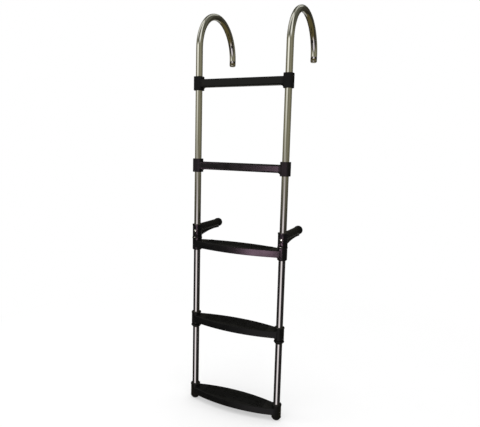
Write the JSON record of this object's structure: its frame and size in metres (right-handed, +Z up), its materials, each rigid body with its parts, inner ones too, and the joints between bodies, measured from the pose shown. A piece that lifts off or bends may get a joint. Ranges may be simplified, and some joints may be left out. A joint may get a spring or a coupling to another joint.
{
  "type": "boat boarding ladder",
  "caption": "Folding boarding ladder with gunwale hooks, narrow upper rungs, wide lower treads and rubber-tipped stand-off arms.",
  "frame": {"origin": "middle of the hook saddle: the underside of the hooks' highest point, halfway between the two hooks", "axes": "+X along the rungs, +Y from the ladder towards the hull, +Z up along the rails"},
  "size_m": [0.3946, 0.3377, 1.5354],
  "materials": {
    "stainless_tube": "polished stainless tube",
    "stainless_fittings": "bright stainless",
    "black_moulding": "semi-gloss moulded, fine grain",
    "black_plastic": "moulded",
    "black_rubber": "matt"
  },
  "bodies": {
    "upper_section": {"upper_rail_left": "stainless_tube", "hook_cap_left": "stainless_fittings", "standoff_screw_left": "stainless_fittings", "hinge_pin_left": "stainless_fittings", "standoff_bracket_left": "black_moulding", "standoff_tip_left": "black_rubber", "upper_rail_plug_left": "black_plastic", "upper_rail_right": "stainless_tube", "hook_cap_right": "stainless_fittings", "standoff_screw_right": "stainless_fittings", "hinge_pin_right": "stainless_fittings", "standoff_bracket_right": "black_moulding", "standoff_tip_right": "black_rubber", "upper_rail_plug_right": "black_plastic", "rung_1": "black_moulding", "rung_2": "black_moulding", "rung_screws": "stainless_fittings"},
    "lower_section": {"lower_rail_left": "stainless_tube", "lower_rail_right": "stainless_tube", "lower_rail_plug_left": "black_plastic", "lower_rail_plug_right": "black_plastic", "hinge_bush_left": "stainless_fittings", "hinge_bush_right": "stainless_fittings", "stop_collar_left": "black_plastic", "stop_collar_right": "black_plastic", "foot_cap_left": "black_rubber", "foot_cap_right": "black_rubber", "tread_3": "black_moulding", "tread_4": "black_moulding", "tread_5": "black_moulding", "tread_screws": "stainless_fittings"}
  },
  "joints": [
    {"name": "fold", "type": "hinge", "parent": "upper_section", "child": "lower_section", "pos_m": [0, -0.16, -0.8392], "axis": [-1, 0, 0], "range_deg": [0, 180]}
  ]
}
